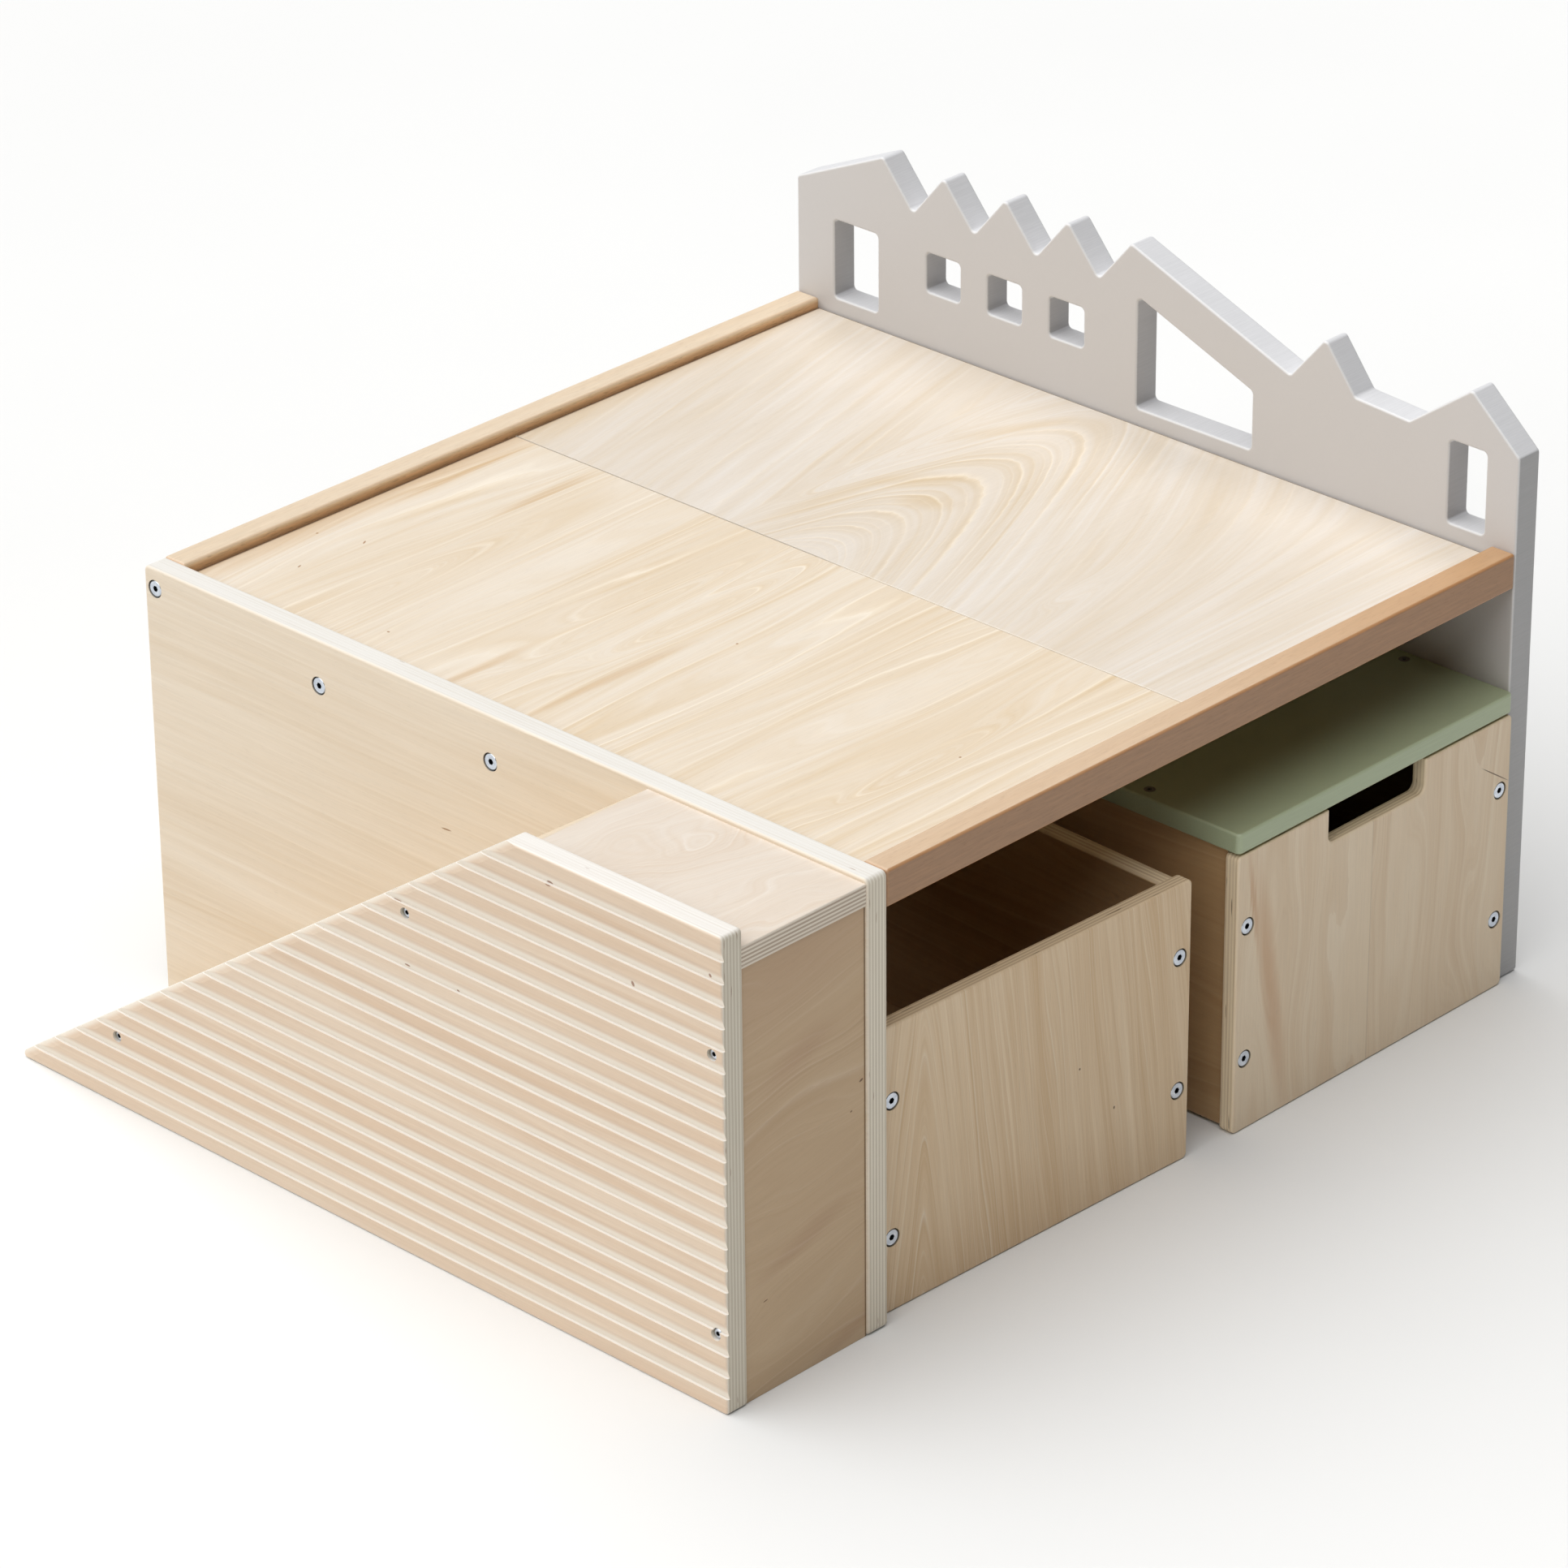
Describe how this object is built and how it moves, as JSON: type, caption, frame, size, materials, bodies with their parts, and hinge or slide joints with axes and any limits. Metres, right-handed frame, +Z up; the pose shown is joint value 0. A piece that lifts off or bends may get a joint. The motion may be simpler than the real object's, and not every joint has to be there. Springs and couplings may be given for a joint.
{
  "type": "play table with benches",
  "caption": "Low wooden play table with a tray top, a painted skyline panel, a ramp tower with a ribbed wall, a pull-out storage box and a pull-out seat bench.",
  "frame": {"origin": "centre of the footprint on the floor, with the box and the bench pushed in", "axes": "+X from the ramp tower to the skyline panel, -Y towards the side the box and the bench pull out of, +Z up"},
  "size_m": [0.781, 0.6674, 0.4503],
  "materials": {
    "birch_plywood": "clear satin lacquer on birch plywood, bare layered edges",
    "beech": "clear satin lacquer on solid beech",
    "grey_paint": "warm grey satin paint on fibreboard",
    "green_paint": "sage green satin paint on board",
    "zinc_steel": "bright zinc plate",
    "black_steel": "black oxide"
  },
  "bodies": {
    "table": {"side_panel": "birch_plywood", "ribbed_panel": "birch_plywood", "tower_front_board": "birch_plywood", "tower_platform": "birch_plywood", "ramp_board": "birch_plywood", "front_rail": "beech", "back_rail": "beech", "front_bearer": "beech", "middle_bearer": "beech", "back_bearer": "beech", "platform_dowels": "beech", "skyline_panel": "grey_paint", "side_rail_bolts": "zinc_steel", "side_bearer_bolts": "zinc_steel", "skyline_rail_bolts": "zinc_steel", "skyline_bearer_bolts": "zinc_steel", "rail_barrel_nuts": "zinc_steel", "bearer_barrel_nuts": "zinc_steel", "ribbed_panel_screws": "zinc_steel", "side_panel_screws": "zinc_steel"},
    "deck_left": {"deck_panel_left": "birch_plywood"},
    "deck_right": {"deck_panel_right": "birch_plywood"},
    "box": {"box_front": "birch_plywood", "box_back": "birch_plywood", "box_left_side": "birch_plywood", "box_right_side": "birch_plywood", "box_bottom": "birch_plywood", "box_bolts": "zinc_steel", "box_barrel_nuts": "zinc_steel"},
    "bench": {"bench_front": "birch_plywood", "bench_back": "birch_plywood", "bench_left_side": "birch_plywood", "bench_right_side": "birch_plywood", "bench_bottom": "birch_plywood", "bench_bolts": "zinc_steel", "bench_barrel_nuts": "zinc_steel", "bench_seat": "green_paint", "seat_screws": "black_steel"}
  },
  "joints": [
    {"name": "box_pull", "type": "slide", "parent": "table", "child": "box", "axis": [0, -1, 0], "range_m": [0, 0.66]},
    {"name": "bench_pull", "type": "slide", "parent": "table", "child": "bench", "axis": [0, -1, 0], "range_m": [0, 0.66]},
    {"name": "deck_left_lift", "type": "slide", "parent": "table", "child": "deck_left", "axis": [0, 0, 1], "range_m": [0, 0.15]},
    {"name": "deck_right_lift", "type": "slide", "parent": "table", "child": "deck_right", "axis": [0, 0, 1], "range_m": [0, 0.15]}
  ]
}
